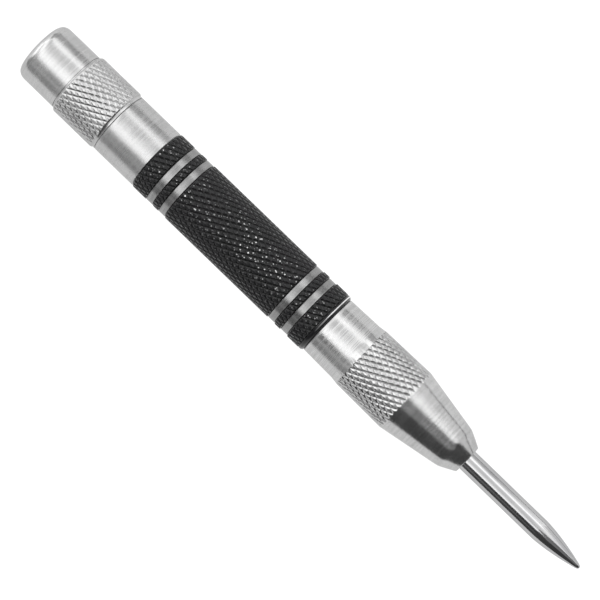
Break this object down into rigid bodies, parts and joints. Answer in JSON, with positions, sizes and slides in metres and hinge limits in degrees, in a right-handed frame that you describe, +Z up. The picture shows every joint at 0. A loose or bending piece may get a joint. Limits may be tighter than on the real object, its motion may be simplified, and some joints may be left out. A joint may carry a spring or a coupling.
{
  "type": "automatic center punch",
  "caption": "Spring-loaded automatic center punch: pointed needle, tapered knurled nose, black knurled grip, bright spacer rings and a knurled cap that sets the force.",
  "frame": {"origin": "bottom centre of the bounding box: the plane the tool lies on, half way along it, under its axis", "axes": "+X along the tool towards the point, +Z up, +Y to the left of the point as seen from above"},
  "size_m": [0.13, 0.0128, 0.0128],
  "materials": {
    "polished_needle": "hardened and polished steel",
    "plated_nose": "satin nickel plate over turned steel",
    "plated_cap": "satin nickel plate over turned steel",
    "satin_barrel": "satin turned steel",
    "bright_ring": "turned steel",
    "black_grip": "gloss black over knurled metal",
    "hardened_parts": "ground hardened steel",
    "spring_wire": "drawn spring steel"
  },
  "bodies": {
    "housing": {"barrel": "satin_barrel", "nose_cone": "plated_nose", "main_spring": "spring_wire", "return_spring": "spring_wire", "front_band_sleeve": "black_grip", "front_narrow_sleeve": "black_grip", "main_grip_sleeve": "black_grip", "rear_narrow_sleeve": "black_grip", "rear_band_sleeve": "black_grip", "grip_ring_1": "bright_ring", "grip_ring_2": "bright_ring", "grip_ring_3": "bright_ring", "grip_ring_4": "bright_ring"},
    "seat": {"spring_seat": "hardened_parts"},
    "cap": {"adjusting_cap": "plated_cap"},
    "punch": {"punch_needle": "polished_needle", "plunger_head": "hardened_parts"},
    "pin": {"trip_pin": "hardened_parts"},
    "striker": {"hammer": "hardened_parts"}
  },
  "joints": [
    {"name": "cap_advance", "type": "slide", "parent": "housing", "child": "seat", "axis": [-1, 0, 0], "range_m": [0, 0.003]},
    {"name": "cap_turn", "type": "hinge", "parent": "seat", "child": "cap", "pos_m": [-0.05, 0, 0.0064], "axis": [-1, 0, 0], "range_deg": [0, 1080]},
    {"name": "needle_press", "type": "slide", "parent": "housing", "child": "punch", "axis": [-1, 0, 0], "range_m": [0, 0.007], "stiffness_N_per_m": 300, "springref_m": -0.002, "deforming": ["return_spring"]},
    {"name": "pin_tilt", "type": "hinge", "parent": "punch", "child": "pin", "pos_m": [0.0159, 0, 0.0064], "axis": [0, 1, 0], "range_deg": [0, 3.68]},
    {"name": "hammer_slide", "type": "slide", "parent": "housing", "child": "striker", "axis": [-1, 0, 0], "range_m": [0, 0.007], "deforming": ["main_spring"]}
  ],
  "couplings": [
    {"joint": "cap_turn", "follows": "cap_advance", "rad_per_m": 6283.2},
    {"joint": "pin_tilt", "follows": "needle_press", "rad_per_m": 9.1678},
    {"joint": "hammer_slide", "follows": "needle_press", "ratio": 1}
  ]
}
